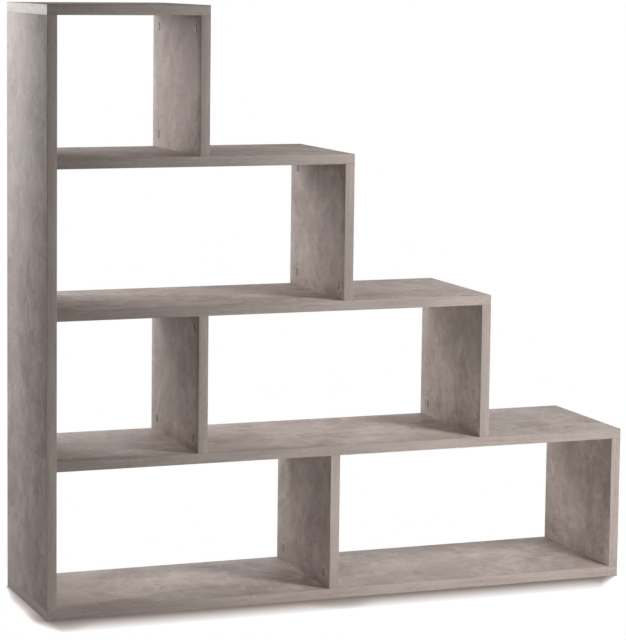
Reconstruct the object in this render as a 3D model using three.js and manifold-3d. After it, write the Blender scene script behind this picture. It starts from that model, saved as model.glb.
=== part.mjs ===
// Staircase bookcase. Twelve laminated boards lie and stand in four steps, held at every joint by
// cam fittings and, where a standing board ends, by a wooden dowel. Sizes are in millimetres.
// X runs along the width from the tall end to the low end, Y from the front to the back, and Z up.
// The origin is on the floor, in the middle of the footprint.
import * as THREE from "three";
import { mergeVertices } from "three/addons/utils/BufferGeometryUtils.js";
import Module from "manifold-3d";

const wasm = await Module();
wasm.setup();

// Boards and bays
const boardThickness = 22;
const boardDepth = 330;
const bayHeight = 300; // clear height between two shelves
const topBoardLength = 360;
const stepRun = 335; // how much further each step reaches than the one above it
const lowerBayWidth = 626; // clear width between the side panel and the lower divider

// Cam fittings. A cam let into a board's face draws in a bolt screwed into the crossing board.
const fittingInset = 37; // from a board's front or back edge to the middle of a fitting
const camSetback = 30; // from the joint to the axis of the cam
const camDiameter = 15;
const camFloor = 1.5; // the wall of the cam behind the bolt
const capOverhang = 1.3; // how far the cap reaches past the cam, all round
const capHeight = 1.2;
const boltDiameter = 7;
const threadDiameter = 5.4;
const threadLength = 10;

// Dowels
const dowelDiameter = 8;
const dowelInEnd = 18; // the part of a dowel in the board that ends at the joint
const dowelInFace = 10; // the part in the face of the crossing board
const dowelChamfer = 1;

// Clearance all round the hardware in its bores, and the overrun of a cut past a face
const boreGap = 0.3;
const cutOverrun = 2;

// Facets of the round pieces
const camSides = 16;
const boltSides = 8;
const dowelSides = 8;

// Levels are counted from the floor up. Each standing board of the stair reaches one level up.
const shelfNames = ["bottom_board", "lower_shelf", "middle_shelf", "upper_shelf", "top_board"];
const uprightNames = ["lower_upright", "middle_upright", "upper_upright", "top_upright"];
const topLevel = uprightNames.length;
const levelPitch = bayHeight + boardThickness;

const underside = (level) => level * levelPitch;
const topside = (level) => underside(level) + boardThickness;
const rightEnd = (level) => topBoardLength + (topLevel - Math.max(level, 1)) * stepRun;
const totalWidth = rightEnd(0);

const right = new THREE.Vector3(1, 0, 0);
const left = new THREE.Vector3(-1, 0, 0);
const up = new THREE.Vector3(0, 0, 1);
const down = new THREE.Vector3(0, 0, -1);

const laminate = () =>
  new THREE.MeshStandardMaterial({ color: 0xa29a93, roughness: 0.62, metalness: 0 });
const cappedZinc = () =>
  new THREE.MeshStandardMaterial({ color: 0x958d86, roughness: 0.5, metalness: 0.2 });
const beech = () =>
  new THREE.MeshStandardMaterial({ color: 0xd2b48a, roughness: 0.75, metalness: 0 });

// The closed solid of a geometry, moved by a matrix
function solidOf(geometry, matrix = new THREE.Matrix4()) {
  const bare = new THREE.BufferGeometry();
  bare.setAttribute("position", geometry.getAttribute("position").clone());
  bare.setIndex(geometry.index);
  bare.applyMatrix4(matrix);
  const merged = mergeVertices(bare);
  return new wasm.Manifold(
    new wasm.Mesh({
      numProp: 3,
      vertProperties: new Float32Array(merged.getAttribute("position").array),
      triVerts: new Uint32Array(merged.index.array),
    }),
  );
}

function geometryOf(solid) {
  const { vertProperties, triVerts } = solid.getMesh();
  const geometry = new THREE.BufferGeometry();
  geometry.setAttribute("position", new THREE.BufferAttribute(vertProperties, 3));
  geometry.setIndex(new THREE.BufferAttribute(triVerts, 1));
  geometry.computeVertexNormals();
  return geometry;
}

// A turned piece about the Z axis. The outline's points are [radius, height], from the bottom up.
function turned(outline, sides) {
  const points = outline.map(([radius, height]) => new THREE.Vector2(radius, height));
  return new THREE.LatheGeometry(points, sides).rotateX(Math.PI / 2);
}

function rod(radius, low, high, sides) {
  return turned([[0, low], [radius, low], [radius, high], [0, high]], sides);
}

// A joint's frame has its origin on the joint, at the middle of the thickness of the board that
// ends there. Z points into that board, and -X points out of the face that its cams are let into.
function jointFrame(point, into, camMouth) {
  const x = camMouth.clone().negate();
  const y = into.clone().cross(x);
  return new THREE.Matrix4().makeBasis(x, y, into).setPosition(point);
}

// Where a cam that was turned about Z, with its mouth at the top, lies in a joint's frame
const camPlace = new THREE.Matrix4()
  .makeTranslation(0, 0, camSetback)
  .multiply(new THREE.Matrix4().makeRotationY(-Math.PI / 2));

const camRadius = camDiameter / 2;
const camBottom = -(boltDiameter / 2 + camFloor);
const camMouthHeight = boardThickness / 2;

// Cap, cam and bolt in one piece, as they are once the cam has been tightened
function fittingGeometry() {
  const capRadius = camRadius + capOverhang;
  const capTop = camMouthHeight + capHeight;
  const camAndCap = turned(
    [
      [0, camBottom],
      [camRadius, camBottom],
      [camRadius, camMouthHeight],
      [capRadius, camMouthHeight],
      [capRadius, capTop],
      [0, capTop],
    ],
    camSides,
  );
  const bolt = turned(
    [
      [0, -threadLength],
      [threadDiameter / 2, -threadLength],
      [threadDiameter / 2, 0],
      [boltDiameter / 2, 0],
      [boltDiameter / 2, camSetback],
      [0, camSetback],
    ],
    boltSides,
  );
  return geometryOf(solidOf(camAndCap, camPlace).add(solidOf(bolt)));
}

function dowelGeometry() {
  const radius = dowelDiameter / 2;
  const tip = radius - dowelChamfer;
  return turned(
    [
      [0, -dowelInFace],
      [tip, -dowelInFace],
      [radius, dowelChamfer - dowelInFace],
      [radius, dowelInEnd - dowelChamfer],
      [tip, dowelInEnd],
      [0, dowelInEnd],
    ],
    dowelSides,
  );
}

// Bores in a joint's frame. The cam's and the bolt's are cut into the board that ends at the
// joint, the thread's into the face of the crossing board, and the dowel's into both.
const camBore = rod(camRadius + boreGap, camBottom - boreGap, camMouthHeight + cutOverrun, camSides);
camBore.applyMatrix4(camPlace);
const boltBore = rod(boltDiameter / 2 + boreGap, -cutOverrun, camSetback, boltSides);
const threadBore = rod(
  threadDiameter / 2 + boreGap,
  -threadLength - boreGap,
  cutOverrun,
  boltSides,
);
const dowelBore = rod(
  dowelDiameter / 2 + boreGap,
  -dowelInFace - boreGap,
  dowelInEnd + boreGap,
  dowelSides,
);

// Each board has two corners, and the bores that the joints give it
const boards = new Map();
function addBoard(name, low, high) {
  boards.set(name, {
    low: new THREE.Vector3(...low),
    high: new THREE.Vector3(...high),
    bores: [],
  });
}

function addLyingBoard(level, leftEnd) {
  addBoard(
    shelfNames[level],
    [leftEnd, 0, underside(level)],
    [rightEnd(level), boardDepth, topside(level)],
  );
}

function addStandingBoard(name, leftFace, lowerLevel, upperLevel) {
  addBoard(
    name,
    [leftFace, 0, topside(lowerLevel)],
    [leftFace + boardThickness, boardDepth, underside(upperLevel)],
  );
}

// At a joint, the board `ends` stops against the face of the board `crosses`
const joints = [];
function addStandingJoints(name, lowerLevel, upperLevel, camMouth) {
  const { low, high } = boards.get(name);
  const foot = new THREE.Vector3().addVectors(low, high).divideScalar(2).setZ(low.z);
  const head = foot.clone().setZ(high.z);
  const shared = { ends: name, camMouth, hasDowel: true };
  joints.push(
    { ...shared, name: `${name}_foot`, crosses: shelfNames[lowerLevel], point: foot, into: up },
    { ...shared, name: `${name}_head`, crosses: shelfNames[upperLevel], point: head, into: down },
  );
}

function addShelfJoint(level) {
  joints.push({
    name: `${shelfNames[level]}_end`,
    ends: shelfNames[level],
    crosses: "side_panel",
    point: new THREE.Vector3(
      boardThickness,
      boardDepth / 2,
      underside(level) + boardThickness / 2,
    ),
    into: right,
    camMouth: down,
    hasDowel: false,
  });
}

function addSidePanel() {
  addStandingBoard("side_panel", 0, 0, topLevel);
  addStandingJoints("side_panel", 0, topLevel, right);
}

function addUpright(name, leftFace, lowerLevel) {
  addStandingBoard(name, leftFace, lowerLevel, lowerLevel + 1);
  addStandingJoints(name, lowerLevel, lowerLevel + 1, left);
}

addLyingBoard(0, 0);
for (let level = 1; level < topLevel; level += 1) addLyingBoard(level, boardThickness);
addLyingBoard(topLevel, 0);
addSidePanel();
uprightNames.forEach((name, index) => {
  addUpright(name, rightEnd(index + 1) - boardThickness, index);
});
addUpright("lower_divider", boardThickness + lowerBayWidth, 0);
addUpright("middle_divider", topBoardLength - boardThickness, 1);
for (let level = 1; level < topLevel; level += 1) addShelfJoint(level);

// All pieces are placed from the front left corner of the footprint
const fromCorner = new THREE.Group();
fromCorner.position.set(-totalWidth / 2, -boardDepth / 2, 0);

function addPiece(name, geometry, material, place) {
  const mesh = new THREE.Mesh(geometry, material);
  mesh.name = name;
  mesh.applyMatrix4(place);
  fromCorner.add(mesh);
}

const fitting = fittingGeometry();
const fittingSides = [
  ["front", fittingInset],
  ["back", boardDepth - fittingInset],
];
function addFittings({ name, ends, crosses, point, into, camMouth }) {
  for (const [side, y] of fittingSides) {
    const frame = jointFrame(point.clone().setY(y), into, camMouth);
    boards.get(ends).bores.push(solidOf(camBore, frame), solidOf(boltBore, frame));
    boards.get(crosses).bores.push(solidOf(threadBore, frame));
    addPiece(`cam_fitting_${name}_${side}`, fitting, cappedZinc(), frame);
  }
}

const dowel = dowelGeometry();
function addDowel({ name, ends, crosses, point, into, camMouth }) {
  const frame = jointFrame(point, into, camMouth);
  boards.get(ends).bores.push(solidOf(dowelBore, frame));
  boards.get(crosses).bores.push(solidOf(dowelBore, frame));
  addPiece(`dowel_${name}`, dowel, beech(), frame);
}

function addBoredBoard(name, { low, high, bores }) {
  const size = new THREE.Vector3().subVectors(high, low);
  const centre = new THREE.Vector3().addVectors(low, high).divideScalar(2);
  const place = new THREE.Matrix4().setPosition(centre);
  const whole = solidOf(new THREE.BoxGeometry(size.x, size.y, size.z), place);
  const bored = bores.reduce((solid, bore) => solid.subtract(bore), whole);
  const geometry = geometryOf(bored).applyMatrix4(place.clone().invert());
  addPiece(name, geometry, laminate(), place);
}

joints.forEach(addFittings);
joints.filter((joint) => joint.hasDowel).forEach(addDowel);
boards.forEach((board, name) => addBoredBoard(name, board));

const bookcase = new THREE.Group();
bookcase.add(fromCorner);

export default bookcase;
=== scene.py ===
# Looks of the staircase bookcase: laminated boards with edge bands, cam fittings and dowels.
# Lengths are in metres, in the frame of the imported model: X runs to the low end of the stair,
# Y to the back and Z up from the floor.
import math
from collections import defaultdict
from typing import NamedTuple

import bmesh
import bpy
from mathutils import Matrix, Vector


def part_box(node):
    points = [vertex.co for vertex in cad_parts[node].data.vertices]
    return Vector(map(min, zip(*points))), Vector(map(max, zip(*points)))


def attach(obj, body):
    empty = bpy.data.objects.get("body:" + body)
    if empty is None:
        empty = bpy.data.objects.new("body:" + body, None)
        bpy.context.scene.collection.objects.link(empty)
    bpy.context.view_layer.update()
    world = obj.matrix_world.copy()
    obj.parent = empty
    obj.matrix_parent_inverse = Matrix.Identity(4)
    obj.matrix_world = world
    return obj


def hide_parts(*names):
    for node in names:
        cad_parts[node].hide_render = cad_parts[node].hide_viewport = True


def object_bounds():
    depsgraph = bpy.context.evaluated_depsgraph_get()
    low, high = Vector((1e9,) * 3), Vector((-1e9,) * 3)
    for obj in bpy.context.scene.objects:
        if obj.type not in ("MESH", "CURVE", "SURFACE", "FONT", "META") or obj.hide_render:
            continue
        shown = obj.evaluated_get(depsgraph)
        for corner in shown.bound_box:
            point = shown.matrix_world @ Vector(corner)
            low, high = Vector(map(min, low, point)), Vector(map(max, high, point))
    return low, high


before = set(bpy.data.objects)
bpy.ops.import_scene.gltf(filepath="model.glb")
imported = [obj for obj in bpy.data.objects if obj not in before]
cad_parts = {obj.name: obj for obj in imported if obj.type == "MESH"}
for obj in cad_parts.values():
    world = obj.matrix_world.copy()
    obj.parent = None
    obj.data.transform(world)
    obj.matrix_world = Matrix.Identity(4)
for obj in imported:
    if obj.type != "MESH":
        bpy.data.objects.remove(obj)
cad_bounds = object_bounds()

MM = 0.001

# The photograph's frame in pixels, and the camera that took it
FRAME_WIDTH = 626
FRAME_HEIGHT = 640
CAMERA_PLACE = Vector((-2.1027, -5.2953, 1.3902))
CAMERA_TURN = math.radians(20.253)  # from the back towards the low end
CAMERA_TILT = math.radians(-6.333)
CAMERA_ROLL = math.radians(0.572)
FOCAL_PIXELS = 2546.5
AXIS_PIXEL = (258.55, 250.15)  # where the lens axis meets the photograph
SENSOR_WIDTH = 36  # mm

# Boards and their edge bands
BAND_THICKNESS = 1 * MM
BAND_RADIUS = 0.8 * MM
BAND_STEPS = 4
PANEL_RADIUS = 0.5 * MM  # at every cut end and edge
PANEL_STEPS = 2
ROUND_PROFILE = 0.5  # of a rounded edge
SMOOTH_ANGLE = math.radians(40)  # edges sharper than this look sharp

# Cams, with their heights from the bolt's axis
CAM_SETBACK = 30 * MM  # from the joint
CAM_RADIUS = 7.5 * MM
CAM_BOTTOM = 5 * MM  # below the axis
CAM_CHAMFER = 0.4 * MM
CAM_NECK_RADIUS = 6.2 * MM
CAM_NECK = 3.4 * MM  # half the height of the cam's waist
CAM_ROOM_RADIUS = 4.6 * MM  # the hollow that takes the bolt's head
CAM_MOUTH_RADIUS = 3.8 * MM  # where the bolt goes in
CAM_TOP_GAP = 0.5 * MM  # under the cap
CROSS_LENGTH = 8.6 * MM
CROSS_WIDTH = 1.6 * MM
CROSS_DEPTH = 3.5 * MM

# Caps over the cams
CAP_RADIUS = 8.8 * MM
CAP_HEIGHT = 1.2 * MM  # above the board
CAP_EDGE_RADIUS = 0.55 * MM
CAP_DISH_RADIUS = 6.9 * MM
CAP_DISH_DEPTH = 0.35 * MM

# Bolts
BOLT_RADIUS = 3.5 * MM
BOLT_SLEEVE_END = 20 * MM
BOLT_NECK_RADIUS = 2.2 * MM
BOLT_HEAD_RADIUS = 3.3 * MM
BOLT_HEAD_LENGTH = 5 * MM
THREAD_RADIUS = 2.7 * MM
THREAD_DEPTH = 0.6 * MM
THREAD_LENGTH = 10 * MM
THREAD_PITCH = 1.8 * MM

# Dowels, which reach into the end of one board and the face of the other
DOWEL_RADIUS = 4 * MM
DOWEL_FLUTES = 14
DOWEL_FLUTE_DEPTH = 0.2 * MM
DOWEL_IN_END = 18 * MM
DOWEL_IN_FACE = 10 * MM
DOWEL_CHAMFER = 1 * MM

# Clearances
BORE_GAP = 0.3 * MM
CUT_OVERRUN = 2 * MM  # how far a cutter goes on past a face
TOUCH = 0.1 * MM  # points closer than this count as on the same side
MERGE = 0.01 * MM  # points closer than this become one

ROUND_STEPS = 48
THREAD_STEPS = 24
THREAD_RINGS_PER_TURN = 8
FLUTE_STEPS = 4  # points across one flute
ARC_STEPS = 5

UP = Vector((0, 0, 1))
DOWN = Vector((0, 0, -1))
RIGHT = Vector((1, 0, 0))
LEFT = Vector((-1, 0, 0))
Z_TO_MINUS_X = Matrix.Rotation(-math.pi / 2, 4, "Y")

# Each lying board's ends that are in view, and so carry a band
LYING_BOARDS = {
    "bottom_board": ("left", "right"),
    "lower_shelf": ("right",),
    "middle_shelf": ("right",),
    "upper_shelf": ("right",),
    "top_board": ("left", "right"),
}
STANDING_BOARDS = (
    "side_panel",
    "lower_upright",
    "middle_upright",
    "upper_upright",
    "top_upright",
    "lower_divider",
    "middle_divider",
)
SHELVES_ON_THE_SIDE_PANEL = ("lower_shelf", "middle_shelf", "upper_shelf")
# The band on the top board's left end is printed paler than the other bands. This is a painted
# highlight, where light glints on that end.
PAINTED_HIGHLIGHT_BAND_PLACE = ("top_board", "left")

# Each side of a box: its axis, and whether it is the high one
SIDES = {
    "left": (0, False),
    "right": (0, True),
    "front": (1, False),
    "back": (1, True),
    "foot": (2, False),
    "head": (2, True),
}
LONG_SIDES = ("front", "back")
GLUED_SIDES = {"front": "back", "back": "front"}  # where a long band meets its board
BOARD_ENDS = {"X": ("left", "right"), "Z": ("foot", "head")}


# Meshes


class Rod(NamedTuple):
    """A round rod along the Z axis of its frame, from low to high."""

    place: Matrix
    radius: float
    low: float
    high: float


def mesh_of(form, name):
    """The mesh of a bmesh, which it frees."""
    bmesh.ops.recalc_face_normals(form, faces=form.faces)
    mesh = bpy.data.meshes.new(name)
    form.to_mesh(mesh)
    form.free()
    return mesh


def smoothed(mesh):
    """Shades the rounded stretches of a mesh smoothly and leaves its sharp edges."""
    mesh.polygons.foreach_set("use_smooth", [True] * len(mesh.polygons))
    mesh.set_sharp_from_angle(angle=SMOOTH_ANGLE)
    return mesh


def middle_of(edge):
    first, second = edge.verts
    return (first.co + second.co) / 2


def slab(name, low, high, *roundings):
    """A box from corner to corner. A rounding is (picks, radius, steps): it rounds the edges whose
    middles it picks, and each works on what the one before it left."""
    form = bmesh.new()
    bmesh.ops.create_cube(form, size=1)
    middle = (low + high) / 2
    size = high - low
    for vertex in form.verts:
        vertex.co = middle + Vector(side * share for side, share in zip(size, vertex.co))
    for picks, radius, steps in roundings:
        bmesh.ops.bevel(
            form,
            geom=[edge for edge in form.edges if picks(middle_of(edge))],
            offset=radius,
            segments=steps,
            profile=ROUND_PROFILE,
            affect="EDGES",
        )
    bmesh.ops.remove_doubles(form, verts=form.verts, dist=MERGE)
    return smoothed(mesh_of(form, name))


def ringed(name, rings):
    """A closed mesh over rings of points from one end to the other. Its ends are single points."""
    form = bmesh.new()
    loops = [[form.verts.new(point) for point in ring] for ring in rings]
    for below, above in zip(loops, loops[1:]):
        count = max(len(below), len(above))
        for index in range(count):
            corners = [below[index % len(below)], below[(index + 1) % len(below)]]
            corners += [above[(index + 1) % len(above)], above[index % len(above)]]
            form.faces.new(dict.fromkeys(corners))
    return smoothed(mesh_of(form, name))


def ring(radius, height, steps):
    """Points round the Z axis. The radius is a length, or a function of the angle."""
    angles = [math.tau * index / steps for index in range(steps)]
    reach = radius if callable(radius) else lambda angle: radius
    return [
        (reach(angle) * math.cos(angle), reach(angle) * math.sin(angle), height)
        for angle in angles
    ]


def turned(name, outline):
    """A piece turned about Z. Its outline is points of (radius, height), from 0 and back to 0."""
    rings = [
        ring(radius, height, ROUND_STEPS) if radius else [(0, 0, height)]
        for radius, height in outline
    ]
    return ringed(name, rings)


def quarter(centre, radius):
    """Outline points on a quarter of a circle, from level with its centre to straight above it."""
    angles = [math.pi / 2 * index / ARC_STEPS for index in range(ARC_STEPS + 1)]
    return [
        (centre[0] + radius * math.cos(angle), centre[1] + radius * math.sin(angle))
        for angle in angles
    ]


def cutter(rods):
    """One mesh of separate rods, for cutting bores."""
    form = bmesh.new()
    for rod in rods:
        bmesh.ops.create_cone(
            form,
            cap_ends=True,
            segments=ROUND_STEPS,
            radius1=rod.radius,
            radius2=rod.radius,
            depth=rod.high - rod.low,
            matrix=rod.place @ Matrix.Translation((0, 0, (rod.low + rod.high) / 2)),
        )
    return mesh_of(form, "cutter")


def add_object(name, data):
    """A new object in the scene."""
    added = bpy.data.objects.new(name, data)
    bpy.context.scene.collection.objects.link(added)
    return added


def cut(mesh, cutter_mesh):
    """The mesh with the cutter's volume taken away."""
    body = add_object("body", mesh)
    tool = add_object("cutter", cutter_mesh)
    modifier = body.modifiers.new("bores", "BOOLEAN")
    modifier.operation = "DIFFERENCE"
    modifier.solver = "EXACT"
    modifier.object = tool
    depsgraph = bpy.context.evaluated_depsgraph_get()
    result = bpy.data.meshes.new_from_object(body.evaluated_get(depsgraph))
    for used in (body, tool):
        bpy.data.objects.remove(used)
    return result


def add_piece(name, mesh, node, material):
    """Puts a mesh in the scene in a node's stead."""
    mesh.materials.append(material)
    piece = add_object(name, mesh)
    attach(piece, "root")
    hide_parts(node)


# Materials

# The curve from a screen's values to linear ones, above its straight part near black
FULL_VALUE = 255
CURVE_OFFSET = 0.055
CURVE_POWER = 2.4


def srgb(red, green, blue):
    """A colour as a screen shows it, in the shader's linear values."""
    shares = [value / FULL_VALUE for value in (red, green, blue)]
    linear = [((share + CURVE_OFFSET) / (1 + CURVE_OFFSET)) ** CURVE_POWER for share in shares]
    return (*linear, 1)


class Noise(NamedTuple):
    """A layer of noise: how large its features are along, across and through the grain, how much
    finer detail it carries, how strong that is, and what the layer weighs in a tone."""

    size: tuple
    detail: float = 3
    roughness: float = 0.5
    weight: float = 0


class Tint(NamedTuple):
    """A colour that a layer brings in, from none where its value is start to a share at end."""

    colour: tuple
    start: float
    end: float
    share: float


class Surface(NamedTuple):
    """The roughness where a material's pattern is 0 and where it is 1, its bump and its gloss."""

    roughness: tuple
    bump: float
    specular: float = 0.5
    metallic: float = 0


WHITE = (1, 1, 1, 1)
HALFWAY = 0.5  # the middle of a layer's values

# The laminate's print
PRINT_DARK = srgb(128, 112, 106)
PRINT_PALE = srgb(204, 192, 186)
STREAKS = Noise((140 * MM, 7 * MM, 7 * MM), detail=4, roughness=0.6, weight=0.18)
GRAINS = Noise((2 * MM, 1.6 * MM, 1.6 * MM), detail=2, weight=0.3)
CLOUDS = Noise((150 * MM, 160 * MM, 60 * MM), detail=9, roughness=0.76, weight=1.8)
MOTTLES = Noise((19 * MM, 24 * MM, 17 * MM), detail=5, roughness=0.7, weight=0.6)
SMEARS = Noise((60 * MM, 64 * MM, 30 * MM), detail=4, roughness=0.55)
PATCH_EDGES = (0.42, 0.58)  # the smears' values between which a pale patch fades in
PATCH_WEIGHT = 0.14
STROKES = Noise((110 * MM, 80 * MM, 30 * MM), detail=2)
STROKE_WIDTH = 0.04  # how far from halfway the value of a trowel stroke may be
STROKE_SHARE = 0.4
BENDS = Noise((170 * MM, 170 * MM, 90 * MM))
BEND_REACH = (80 * MM, 80 * MM, 0)
LAMINATE_SURFACE = Surface((0.6, 0.76), 0.05 * MM, specular=0.15)

# The hues in the print: to pink and olive by one layer, to ochre and dark specks by others
PINK = Tint(srgb(171, 154, 149), 0.5, 0.68, 0.5)
OLIVE = Tint(srgb(165, 156, 148), 0.5, 0.32, 0.5)
OCHRE = Tint(srgb(180, 164, 141), 0.58, 0.75, 0.4)
SPECK = Tint(srgb(104, 94, 86), 0.77, 0.84, 0.6)
PRINT_HUES = (
    (Noise((220 * MM, 190 * MM, 60 * MM), detail=4, roughness=0.6), (PINK, OLIVE)),
    (Noise((34 * MM, 40 * MM, 20 * MM), roughness=0.6), (OCHRE,)),
    (Noise((4 * MM, 3 * MM, 3 * MM), detail=0), (SPECK,)),
)

# The print on the narrow bands
BAND_DARK = srgb(134, 121, 115)
BAND_PALE = srgb(190, 179, 172)
# A paler copy of the band print for that one band, which is a painted highlight
PAINTED_HIGHLIGHT_BAND_DARK = srgb(188, 178, 170)
PAINTED_HIGHLIGHT_BAND_PALE = srgb(217, 209, 203)
BAND_CLOUDS = Noise((220 * MM, 50 * MM, 50 * MM), detail=4, weight=0.6)
BAND_STREAKS = Noise((110 * MM, 4 * MM, 4 * MM), detail=5, roughness=0.6, weight=0.85)
BAND_MOTTLES = Noise((14 * MM, 5 * MM, 5 * MM), roughness=0.6, weight=0.6)
BAND_GRAINS = GRAINS._replace(weight=0.25)
BAND_HUES = (
    (
        Noise((70 * MM, 30 * MM, 30 * MM), detail=2),
        (PINK._replace(share=0.35), OLIVE._replace(share=0.45)),
    ),
)
BAND_START = (0.37, 0.61, 0.23)  # moves the print, so that a band doesn't repeat its board
BAND_SURFACE = Surface((0.5, 0.64), 0.03 * MM, specular=0.15)

# The caps' plastic
CAP_DARK = srgb(150, 138, 131)
CAP_PALE = srgb(168, 156, 149)
CAP_CLOUDS = Noise((16 * MM, 16 * MM, 16 * MM))
CAP_GRAINS = Noise((0.4 * MM, 0.4 * MM, 0.4 * MM), detail=1)
CAP_SURFACE = Surface((0.5, 0.62), 0.02 * MM, specular=0.2)

# Cast zinc, plated steel and beech
ZINC_DARK = srgb(140, 141, 143)
ZINC_PALE = srgb(176, 177, 180)
ZINC_GRAINS = Noise((0.7 * MM, 0.7 * MM, 0.7 * MM))
ZINC_SURFACE = Surface((0.35, 0.5), 0.03 * MM, metallic=1)
STEEL_DARK = srgb(168, 165, 155)
STEEL_PALE = srgb(200, 196, 186)
STEEL_GRAINS = Noise((0.35 * MM, 0.35 * MM, 0.35 * MM))
STEEL_SURFACE = Surface((0.22, 0.36), 0.03 * MM, metallic=1)
BEECH_DARK = srgb(190, 152, 110)
BEECH_PALE = srgb(222, 192, 150)
BEECH_FIBRES = Noise((8 * MM, 1.1 * MM, 1.1 * MM))
BEECH_SURFACE = Surface((0.6, 0.8), 0.1 * MM)

# The pattern's X axis turned to each direction of the grain
GRAIN_TURNS = {"X": (0, 0, 0), "Y": (0, 0, -math.pi / 2), "Z": (0, math.pi / 2, 0)}

# The colour sockets of a Mix node
MIX_FIRST = 6
MIX_SECOND = 7
MIX_RESULT = 2


class Nodes:
    """A node tree. An input is a number, a vector, a colour or another node's output."""

    def __init__(self, tree):
        self.tree = tree

    def put(self, socket, value):
        if isinstance(value, bpy.types.NodeSocket):
            self.tree.links.new(value, socket)
        else:
            socket.default_value = value

    def add(self, kind, inputs, **settings):
        node = self.tree.nodes.new(kind)
        for key, value in settings.items():
            setattr(node, key, value)
        for key, value in inputs.items():
            self.put(node.inputs[key], value)
        return node

    def math(self, operation, *values):
        node = self.add("ShaderNodeMath", dict(enumerate(values)), operation=operation)
        return node.outputs[0]

    def vector_math(self, operation, *values):
        node = self.add("ShaderNodeVectorMath", dict(enumerate(values)), operation=operation)
        return node.outputs[0]

    def span(self, value, low, high):
        """A value from 0 to 1 stretched over low to high."""
        inputs = {"Value": value, "To Min": low, "To Max": high}
        return self.add("ShaderNodeMapRange", inputs).outputs["Result"]

    def fade(self, value, start, end):
        """0 at the start, 1 at the end, smooth between them and level past them."""
        inputs = {"Value": value, "From Min": start, "From Max": end}
        node = self.add("ShaderNodeMapRange", inputs, interpolation_type="SMOOTHSTEP")
        return node.outputs["Result"]

    def mix(self, share, first, second):
        inputs = {0: share, MIX_FIRST: first, MIX_SECOND: second}
        return self.add("ShaderNodeMix", inputs, data_type="RGBA").outputs[MIX_RESULT]

    def seen_directly(self):
        """1 where the camera looks, straight or by a mirror or glass, and 0 for plain light."""
        path = self.add("ShaderNodeLightPath", {}).outputs
        seen = self.math("MAXIMUM", path["Is Camera Ray"], path["Is Glossy Ray"])
        return self.math("MAXIMUM", seen, path["Is Transmission Ray"])


class Finish(Nodes):
    """A material with its pattern laid along one axis of the object."""

    def __init__(self, name, grain, start=(0, 0, 0)):
        self.material = bpy.data.materials.new(name)
        self.material.use_nodes = True
        super().__init__(self.material.node_tree)
        self.shader = self.tree.nodes["Principled BSDF"]
        source = self.add("ShaderNodeTexCoord", {}).outputs["Object"]
        moved = {"Vector": source, "Rotation": GRAIN_TURNS[grain], "Location": start}
        self.place = self.add("ShaderNodeMapping", moved).outputs["Vector"]

    def noise(self, layer, output="Fac"):
        """The values of a layer, from 0 to 1."""
        per_metre = tuple(1 / length for length in layer.size)
        inputs = {
            "Vector": self.vector_math("MULTIPLY", self.place, per_metre),
            "Scale": 1,
            "Detail": layer.detail,
            "Roughness": layer.roughness,
        }
        return self.add("ShaderNodeTexNoise", inputs).outputs[output]

    def bend(self, layer, reach):
        """Bends what follows by up to half the reach either way."""
        bends = self.noise(layer, output="Color")
        self.place = self.vector_math("MULTIPLY_ADD", bends, reach, self.place)

    def tone(self, *parts):
        """The sum of values round halfway, each with its own weight, itself round halfway."""
        total = HALFWAY
        for value, weight in parts:
            offset = self.math("SUBTRACT", value, HALFWAY)
            total = self.math("MULTIPLY_ADD", offset, weight, total)
        return total

    def blend(self, colour, where, share, other):
        """Mixes a share of another colour in, in full where the value is 1."""
        return self.mix(self.math("MULTIPLY", where, share), colour, other)

    def tint(self, colour, hues):
        """Brings in hues, which are pairs of a layer and its tints."""
        for layer, tints in hues:
            values = self.noise(layer)
            for tint in tints:
                where = self.fade(values, tint.start, tint.end)
                colour = self.blend(colour, where, tint.share, tint.colour)
        return colour

    def finish(self, colour, pattern, height, surface):
        """Sets the surface. Its roughness goes with the pattern and its bump with the height."""
        bump = self.add("ShaderNodeBump", {"Height": height, "Distance": surface.bump})
        values = {
            "Base Color": colour,
            "Roughness": self.span(pattern, *surface.roughness),
            "Normal": bump.outputs["Normal"],
            "Specular IOR Level": surface.specular,
            "Metallic": surface.metallic,
        }
        for key, value in values.items():
            self.put(self.shader.inputs[key], value)
        return self.material


def laminate(grain):
    """Concrete-look print: clouds, mottles, curved pale strokes, and streaks along the board."""
    finish = Finish(f"laminate_{grain}", grain)
    streaks = finish.noise(STREAKS)
    grains = finish.noise(GRAINS)
    finish.bend(BENDS, BEND_REACH)
    clouds = finish.noise(CLOUDS)
    smears = finish.noise(SMEARS)
    patches = finish.fade(smears, *PATCH_EDGES)
    mottles = finish.noise(MOTTLES)
    tone = finish.tone(
        (clouds, CLOUDS.weight),
        (patches, PATCH_WEIGHT),
        (mottles, MOTTLES.weight),
        (streaks, STREAKS.weight),
        (grains, GRAINS.weight),
    )
    colour = finish.mix(tone, PRINT_DARK, PRINT_PALE)
    offset = finish.math("ABSOLUTE", finish.math("SUBTRACT", finish.noise(STROKES), HALFWAY))
    strokes = finish.math("MULTIPLY", finish.fade(offset, STROKE_WIDTH, 0), patches)
    colour = finish.blend(colour, strokes, STROKE_SHARE, PRINT_PALE)
    colour = finish.tint(colour, PRINT_HUES)
    return finish.finish(colour, smears, grains, LAMINATE_SURFACE)


def edge_band(name, grain, dark, pale):
    """The same print on a band, where the narrow strip shows mostly its streaks."""
    finish = Finish(name, grain, start=BAND_START)
    clouds = finish.noise(BAND_CLOUDS)
    streaks = finish.noise(BAND_STREAKS)
    mottles = finish.noise(BAND_MOTTLES)
    grains = finish.noise(BAND_GRAINS)
    tone = finish.tone(
        (clouds, BAND_CLOUDS.weight),
        (streaks, BAND_STREAKS.weight),
        (mottles, BAND_MOTTLES.weight),
        (grains, BAND_GRAINS.weight),
    )
    colour = finish.tint(finish.mix(tone, dark, pale), BAND_HUES)
    return finish.finish(colour, clouds, grains, BAND_SURFACE)


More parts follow.
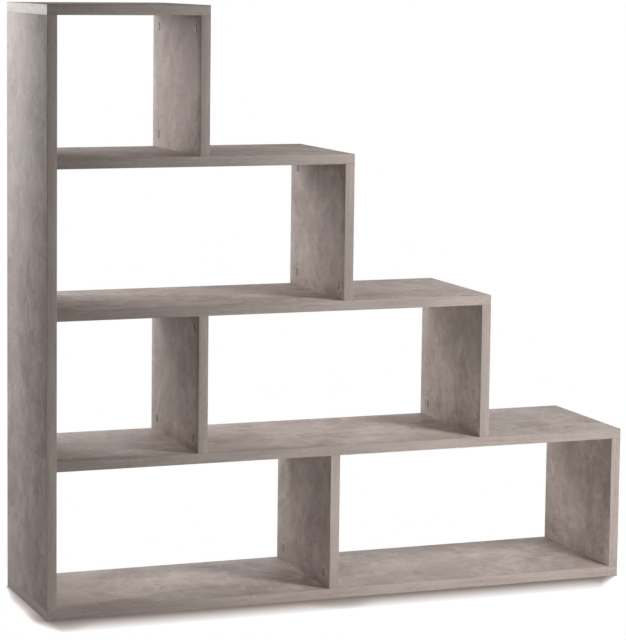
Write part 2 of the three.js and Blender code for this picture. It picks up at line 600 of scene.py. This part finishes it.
def cap_plastic():
    finish = Finish("cap_plastic", "Z")
    clouds = finish.noise(CAP_CLOUDS)
    colour = finish.mix(clouds, CAP_DARK, CAP_PALE)
    return finish.finish(colour, clouds, finish.noise(CAP_GRAINS), CAP_SURFACE)


def one_layer(name, grain, layer, dark, pale, surface):
    """A material that one layer makes paler, rougher and higher all at once."""
    finish = Finish(name, grain)
    values = finish.noise(layer)
    return finish.finish(finish.mix(values, dark, pale), values, values, surface)


LAMINATES = {grain: laminate(grain) for grain in "XZ"}
BANDS = {
    grain: edge_band(f"edge_band_{grain}", grain, BAND_DARK, BAND_PALE) for grain in "XYZ"
}
# The paler band is a painted highlight on the top board's left end
PAINTED_HIGHLIGHT_BAND = edge_band("edge_band_painted_highlight", "Y", PAINTED_HIGHLIGHT_BAND_DARK, PAINTED_HIGHLIGHT_BAND_PALE)
CAP = cap_plastic()
ZINC = one_layer("cast_zinc", "X", ZINC_GRAINS, ZINC_DARK, ZINC_PALE, ZINC_SURFACE)
STEEL = one_layer("plated_steel", "X", STEEL_GRAINS, STEEL_DARK, STEEL_PALE, STEEL_SURFACE)
BEECH = one_layer("beech", "Z", BEECH_FIBRES, BEECH_DARK, BEECH_PALE, BEECH_SURFACE)


# Joints and what holds them


class Joint(NamedTuple):
    """Where a board ends against another, which is the crossed one. The frame's origin is on the
    joint, Z goes into the board that ends there, and -X out of the face that its cams open to."""

    name: str
    board: str
    crossed: str
    place: Matrix


def board_at(point):
    """The board that a point lies in."""
    for board in (*LYING_BOARDS, *STANDING_BOARDS):
        low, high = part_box(board)
        if all(a <= value <= b for a, value, b in zip(low, point, high)):
            return board
    raise ValueError(f"no board at {point}")


def joint_at(point, name, board, into, cam_mouth):
    x = -cam_mouth
    place = Matrix.Translation(point) @ Matrix((x, into.cross(x), into)).transposed().to_4x4()
    in_thread = place @ Vector((0, 0, -THREAD_LENGTH / 2))
    return Joint(name, board, board_at(in_thread), place)


def find_joints():
    """Every joint, at the middle of its boards' depth."""
    found = []
    for board in STANDING_BOARDS:
        low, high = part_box(board)
        middle = (low + high) / 2
        cam_mouth = RIGHT if board == "side_panel" else LEFT
        for end, height, into in (("foot", low.z, UP), ("head", high.z, DOWN)):
            point = Vector((middle.x, middle.y, height))
            found.append(joint_at(point, f"{board}_{end}", board, into, cam_mouth))
    for board in SHELVES_ON_THE_SIDE_PANEL:
        low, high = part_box(board)
        middle = (low + high) / 2
        point = Vector((low.x, middle.y, middle.z))
        found.append(joint_at(point, f"{board}_end", board, RIGHT, DOWN))
    return found


def at_depth(place, node):
    """A joint's frame moved to the depth of one of its fittings."""
    low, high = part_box(node)
    moved = place.copy()
    moved.translation.y = (low.y + high.y) / 2
    return moved


def mouth_height():
    """From the bolt's axis to the face of the board, the same in every joint."""
    low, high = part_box("side_panel")
    return (high.x - low.x) / 2


MOUTH = mouth_height()
CAM_PLACE = Matrix.Translation((0, 0, CAM_SETBACK)) @ Z_TO_MINUS_X


def cap_mesh():
    """A disc with a rounded edge and a shallow dish."""
    top = MOUTH + CAP_HEIGHT
    dish = top - CAP_DISH_DEPTH
    outline = [
        (0, MOUTH),
        (CAP_RADIUS, MOUTH),
        *quarter((CAP_RADIUS - CAP_EDGE_RADIUS, top - CAP_EDGE_RADIUS), CAP_EDGE_RADIUS),
        (CAP_DISH_RADIUS, top),
        (CAP_DISH_RADIUS - CAP_DISH_DEPTH, dish),
        (0, dish),
    ]
    return turned("cap", outline)


def cam_mesh():
    """A drum with a waist, hollow where the bolt goes in, and a cross recess for the driver."""
    top = MOUTH - CAM_TOP_GAP
    rim = CAM_RADIUS - CAM_CHAMFER
    outline = [
        (0, -CAM_BOTTOM),
        (rim, -CAM_BOTTOM),
        (CAM_RADIUS, CAM_CHAMFER - CAM_BOTTOM),
        (CAM_RADIUS, -CAM_NECK),
        (CAM_NECK_RADIUS, -CAM_NECK),
        (CAM_NECK_RADIUS, CAM_NECK),
        (CAM_RADIUS, CAM_NECK),
        (CAM_RADIUS, top - CAM_CHAMFER),
        (rim, top),
        (0, top),
    ]
    cam = turned("cam", outline)
    head_room = Rod(Matrix(), CAM_ROOM_RADIUS, -BOLT_HEAD_RADIUS, BOLT_HEAD_RADIUS)
    mouth = Rod(Z_TO_MINUS_X, CAM_MOUTH_RADIUS, 0, CAM_RADIUS + CUT_OVERRUN)
    for hollow in (head_room, mouth):
        cam = cut(cam, cutter([hollow]))
    for length, width in ((CROSS_LENGTH, CROSS_WIDTH), (CROSS_WIDTH, CROSS_LENGTH)):
        low = Vector((-length / 2, -width / 2, top - CROSS_DEPTH))
        high = Vector((length / 2, width / 2, top + CUT_OVERRUN))
        cam = cut(cam, slab("recess", low, high))
    return smoothed(cam)


def thread_radius(height):
    """The radius round a thread at one height, as a function of the angle."""

    def radius(angle):
        turns = height / THREAD_PITCH - angle / math.tau
        return THREAD_RADIUS - THREAD_DEPTH * abs(2 * (turns % 1) - 1)

    return radius


def bolt_mesh():
    """A threaded stud, a sleeve, a neck and a round head that the cam pulls on."""
    ring_count = round(THREAD_LENGTH / THREAD_PITCH * THREAD_RINGS_PER_TURN)
    heights = [-THREAD_LENGTH * (1 - index / ring_count) for index in range(ring_count)]
    stud = [ring(thread_radius(height), height, THREAD_STEPS) for height in heights]
    head_foot = CAM_SETBACK - BOLT_HEAD_LENGTH / 2
    head_top = CAM_SETBACK + BOLT_HEAD_LENGTH / 2
    neck = BOLT_NECK_RADIUS
    outline = [
        (BOLT_RADIUS, 0),
        (BOLT_RADIUS, BOLT_SLEEVE_END),
        (neck, BOLT_SLEEVE_END + BOLT_RADIUS - neck),
        (neck, head_foot),
        (BOLT_HEAD_RADIUS, head_foot + BOLT_HEAD_RADIUS - neck),
        (BOLT_HEAD_RADIUS, head_top - BOLT_HEAD_RADIUS + neck),
        (neck, head_top),
    ]
    shank = [ring(radius, height, THREAD_STEPS) for radius, height in outline]
    return ringed("bolt", [[(0, 0, -THREAD_LENGTH)], *stud, *shank, [(0, 0, head_top)]])


def flute_radius(angle):
    """The radius round a dowel, which goes in at each of its flutes."""
    return DOWEL_RADIUS - DOWEL_FLUTE_DEPTH * (1 + math.cos(DOWEL_FLUTES * angle)) / 2


def dowel_mesh():
    """A fluted dowel with chamfered ends."""
    steps = DOWEL_FLUTES * FLUTE_STEPS
    tip = DOWEL_RADIUS - DOWEL_CHAMFER
    rings = [
        [(0, 0, -DOWEL_IN_FACE)],
        ring(tip, -DOWEL_IN_FACE, steps),
        ring(flute_radius, DOWEL_CHAMFER - DOWEL_IN_FACE, steps),
        ring(flute_radius, DOWEL_IN_END - DOWEL_CHAMFER, steps),
        ring(tip, DOWEL_IN_END, steps),
        [(0, 0, DOWEL_IN_END)],
    ]
    return ringed("dowel", rings)


def placed(mesh, place):
    """A copy of a mesh with its points moved, so that its pattern differs from its twins'."""
    copy = mesh.copy()
    copy.transform(place)
    return copy


def bore(place, radius, low, high):
    """The rod that cuts a bore, with a gap round what it takes."""
    return Rod(place, radius + BORE_GAP, low, high)


def add_hardware():
    """Caps, cams, bolts and dowels in every joint. Returns the bores that they need by board: the
    cams' bores, and those of the bolts and dowels, which run into them and so are cut apart."""
    fitting = (
        ("cap", cap_mesh(), "cap", CAP, CAM_PLACE),
        ("cam", cam_mesh(), "fitting", ZINC, CAM_PLACE),
        ("bolt", bolt_mesh(), "fitting", STEEL, Matrix()),
    )
    dowel = dowel_mesh()
    cam_bores = defaultdict(list)
    rod_bores = defaultdict(list)
    for name, board, crossed, place in find_joints():
        for side in LONG_SIDES:
            node = f"cam_fitting_{name}_{side}"
            there = at_depth(place, node)
            for kind, mesh, slot, material, own in fitting:
                add_piece(f"{kind}_{name}_{side}", placed(mesh, there @ own), node, material)
            cam_bores[board].append(
                bore(there @ CAM_PLACE, CAM_RADIUS, -CAM_BOTTOM - BORE_GAP, MOUTH + CUT_OVERRUN)
            )
            rod_bores[board].append(bore(there, BOLT_RADIUS, -CUT_OVERRUN, CAM_SETBACK))
            rod_bores[crossed].append(
                bore(there, THREAD_RADIUS, -THREAD_LENGTH - BORE_GAP, CUT_OVERRUN)
            )
        node = f"dowel_{name}"
        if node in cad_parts:
            add_piece(f"fluted_{node}", placed(dowel, place), node, BEECH)
            for bored in (board, crossed):
                rod_bores[bored].append(
                    bore(place, DOWEL_RADIUS, -DOWEL_IN_FACE - BORE_GAP, DOWEL_IN_END + BORE_GAP)
                )
    return cam_bores, rod_bores


# Boards


def on_side(point, low, high, side):
    """Whether a point lies on one side of a box."""
    axis, is_high = SIDES[side]
    return math.isclose(point[axis], (high if is_high else low)[axis], abs_tol=TOUCH)


def inset(low, high, sides):
    """A box's corners with room left for a band on each of the sides."""
    low, high = low.copy(), high.copy()
    for side in sides:
        axis, is_high = SIDES[side]
        if is_high:
            high[axis] -= BAND_THICKNESS
        else:
            low[axis] += BAND_THICKNESS
    return low, high


def band_box(low, high, inner_low, inner_high, side):
    """The corners of one band. The front and back bands run on over the ends of the others."""
    axis, is_high = SIDES[side]
    low, high = low.copy(), high.copy()
    if side not in LONG_SIDES:
        low.y, high.y = inner_low.y, inner_high.y
    if is_high:
        low[axis] = inner_high[axis]
    else:
        high[axis] = inner_low[axis]
    return low, high


def raw_ends(grain, banded):
    """The ends of a board that carry no band, because they stand against another board."""
    return [side for side in BOARD_ENDS[grain] if side not in banded]


def add_band(board, side, low, high, raw, material):
    """A band with its outer edges rounded, and eased where it ends against another board."""
    is_long = side in LONG_SIDES

    def touches(middle, *sides):
        return any(on_side(middle, low, high, other) for other in sides)

    def is_outer(middle):
        flush = raw if is_long else LONG_SIDES
        return touches(middle, side) and not touches(middle, *flush)

    def is_end(middle):
        return is_long and touches(middle, *raw) and not touches(middle, GLUED_SIDES[side])

    rounded = (is_outer, BAND_RADIUS, BAND_STEPS)
    eased = (is_end, PANEL_RADIUS, PANEL_STEPS)
    mesh = slab("band", low, high, rounded, eased)
    add_piece(f"{board}_{side}_band", mesh, board, material)


def add_panel(board, low, high, banded, raw, grain, bores):
    """A board without its bands, eased at its cut edges and bored for its fittings."""

    def is_cut(middle):
        return any(on_side(middle, low, high, side) for side in (*banded, *raw))

    panel = slab("panel", low, high, (is_cut, PANEL_RADIUS, PANEL_STEPS))
    for rods in bores:
        panel = cut(panel, cutter(rods))
    add_piece(f"{board}_panel", panel, board, LAMINATES[grain])


def add_board(board, bores):
    """A board's panel, and the bands on its edges that show."""
    low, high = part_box(board)
    grain = "X" if board in LYING_BOARDS else "Z"
    banded = (*LONG_SIDES, *LYING_BOARDS.get(board, ()))
    raw = raw_ends(grain, banded)
    inner_low, inner_high = inset(low, high, banded)
    add_panel(board, inner_low, inner_high, banded, raw, grain, bores)
    for side in banded:
        band_low, band_high = band_box(low, high, inner_low, inner_high, side)
        material = BANDS[grain if side in LONG_SIDES else "Y"]
        # The top board's left band takes the paler print, which is a painted highlight
        if (board, side) == PAINTED_HIGHLIGHT_BAND_PLACE:
            material = PAINTED_HIGHLIGHT_BAND
        add_band(board, side, band_low, band_high, raw, material)


def add_boards():
    """Every board, and what holds them together."""
    cam_bores, rod_bores = add_hardware()
    for board in (*LYING_BOARDS, *STANDING_BOARDS):
        add_board(board, [bores[board] for bores in (cam_bores, rod_bores) if board in bores])


# Studio


class Lamp(NamedTuple):
    """A rectangular lamp that shines from its place to its aim."""

    place: tuple
    aim: tuple
    width: float
    height: float
    watts: float


LAMPS = {
    "key": Lamp((0.9, -1.2, 1.5), (0.2, 0, 0.7), 0.3, 0.4, 25),
    "left_far": Lamp((-2.3, 1.1, 1.9), (-0.4, 0, 0.8), 0.9, 0.9, 12.8),
    "left_near": Lamp((-1.1, 1.15, 1.35), (-0.4, 0, 0.8), 0.8, 0.9, 14.6),
    "back_low": Lamp((0.2, 1.6, 0.5), (0.2, 0, 0.6), 2.4, 0.7, 12.4),
    "front_low": Lamp((0.3, -0.7, 0.08), (0.2, 0, 0.05), 1.4, 0.12, 2.4),
    "right_low": Lamp((4, 0.1, 0.3), (0, 0.1, 0.6), 0.6, 0.5, 40),
}
AMBIENT = 0.01  # the strength of the light from all round
FLOOR_HALF = 15
FLOOR_COLOUR = srgb(237, 237, 237)

# The floor's contact shadow. It reaches furthest to the front, and hardly at all behind the
# object and past its low end.
SHADOW_REACH_FRONT = 97 * MM
SHADOW_REACH_LEFT = 27 * MM
SHADOW_REACH_LIT = 4 * MM  # behind the object and past its low end
SHADOW_SLANT = 0.6  # how far its low end moves to the left, for each metre to the front
SHADOW_SAMPLES = 64

# Where the reach starts to change and where it is done, from each side of the object
SHADOW_TURNS = {
    "front": (120 * MM, 0),
    "back": (20 * MM, -150 * MM),
    "left": (-35 * MM, 15 * MM),
    "right": (0, -40 * MM),
}

# How deep the shadow is at most, and how much is closed off where it is half as deep
SHADOW_DEPTH = 0.94
SHADOW_SIDE_KNEE = 0.18
SHADOW_FRONT_KNEE = 0.03
SHADOW_THIN = srgb(140, 84, 40)
SHADOW_DEEP = srgb(90, 77, 71)


def add_camera():
    forward = Vector(
        (
            math.sin(CAMERA_TURN) * math.cos(CAMERA_TILT),
            math.cos(CAMERA_TURN) * math.cos(CAMERA_TILT),
            math.sin(CAMERA_TILT),
        )
    )
    level = forward.cross(UP).normalized()
    upward = level.cross(forward)
    roll = Matrix.Rotation(-CAMERA_ROLL, 3, forward)
    axes = Matrix((roll @ level, roll @ upward, -forward)).transposed()
    long_side = max(FRAME_WIDTH, FRAME_HEIGHT)
    data = bpy.data.cameras.new("camera")
    data.sensor_width = SENSOR_WIDTH
    data.lens = FOCAL_PIXELS * SENSOR_WIDTH / long_side
    data.shift_x = (FRAME_WIDTH / 2 - AXIS_PIXEL[0]) / long_side
    data.shift_y = (AXIS_PIXEL[1] - FRAME_HEIGHT / 2) / long_side
    camera = add_object("camera", data)
    camera.matrix_world = Matrix.Translation(CAMERA_PLACE) @ axes.to_4x4()
    bpy.context.scene.camera = camera


def add_lamps():
    for name, lamp in LAMPS.items():
        data = bpy.data.lights.new(name, "AREA")
        data.shape = "RECTANGLE"
        data.size = lamp.width
        data.size_y = lamp.height
        data.energy = lamp.watts
        shining = add_object(name, data)
        shining.location = lamp.place
        shining.rotation_mode = "QUATERNION"
        direction = Vector(lamp.aim) - Vector(lamp.place)
        shining.rotation_quaternion = direction.to_track_quat("-Z", "Y")
        shining.visible_camera = False


def add_world():
    """White for the camera, and a faint light all round for the object."""
    world = bpy.data.worlds.new("studio")
    world.use_nodes = True
    nodes = Nodes(world.node_tree)
    background = nodes.tree.nodes["Background"]
    background.inputs["Color"].default_value = WHITE
    nodes.put(background.inputs["Strength"], nodes.span(nodes.seen_directly(), AMBIENT, 1))
    bpy.context.scene.world = world


def shadow_turn(nodes, place, edge, side):
    """The fade over which the shadow's reach changes at one side of the object."""
    start, end = SHADOW_TURNS[side]
    return nodes.fade(place, edge + start, edge + end)


def contact_shadow(nodes):
    """How deep the shadow is, from 0 to 1, where the object closes the floor off."""
    point = nodes.add("ShaderNodeTexCoord", {}).outputs["Object"]
    place = nodes.add("ShaderNodeSeparateXYZ", {0: point}).outputs
    (left, front, _), (right, back, _) = cad_bounds
    in_front_by = nodes.math("MAXIMUM", nodes.math("SUBTRACT", front, place["Y"]), 0)
    slanted = nodes.math("MULTIPLY_ADD", in_front_by, SHADOW_SLANT, place["X"])
    before_front = shadow_turn(nodes, place["Y"], front, "front")
    before_back = shadow_turn(nodes, place["Y"], back, "back")
    right_of_left = shadow_turn(nodes, place["X"], left, "left")
    left_of_right = shadow_turn(nodes, slanted, right, "right")
    beside = nodes.math("MULTIPLY", left_of_right, before_back)
    between = nodes.math("MULTIPLY", left_of_right, right_of_left)
    ahead = nodes.math("MULTIPLY", before_front, between)
    reach_beside = nodes.span(beside, SHADOW_REACH_LIT, SHADOW_REACH_LEFT)
    reach = {"Distance": nodes.span(ahead, reach_beside, SHADOW_REACH_FRONT)}
    around = nodes.add("ShaderNodeAmbientOcclusion", reach, samples=SHADOW_SAMPLES)
    closed = nodes.math("SUBTRACT", 1, around.outputs["AO"])
    knee = nodes.span(ahead, SHADOW_SIDE_KNEE, SHADOW_FRONT_KNEE)
    share = nodes.math("DIVIDE", closed, nodes.math("ADD", closed, knee))
    return nodes.math("MULTIPLY", share, SHADOW_DEPTH)


def floor_material():
    """White paper that keeps a soft shadow where the object stands close."""
    material = bpy.data.materials.new("floor")
    material.use_nodes = True
    nodes = Nodes(material.node_tree)
    paper = nodes.tree.nodes["Principled BSDF"]
    paper.inputs["Base Color"].default_value = FLOOR_COLOUR
    paper.inputs["Roughness"].default_value = 1
    paper.inputs["Specular IOR Level"].default_value = 0
    depth = contact_shadow(nodes)
    colour = nodes.mix(depth, WHITE, nodes.mix(depth, SHADOW_THIN, SHADOW_DEEP))
    glow = nodes.add("ShaderNodeEmission", {"Color": colour})
    inputs = {0: nodes.seen_directly(), 1: paper.outputs[0], 2: glow.outputs[0]}
    seen = nodes.add("ShaderNodeMixShader", inputs)
    nodes.put(nodes.tree.nodes["Material Output"].inputs["Surface"], seen.outputs[0])
    return material


def add_floor():
    form = bmesh.new()
    bmesh.ops.create_grid(form, x_segments=1, y_segments=1, size=FLOOR_HALF)
    mesh = mesh_of(form, "floor")
    mesh.materials.append(floor_material())
    add_object("floor", mesh)


add_boards()
add_camera()
add_world()
add_floor()
add_lamps()
bpy.context.scene.view_settings.view_transform = "Standard"
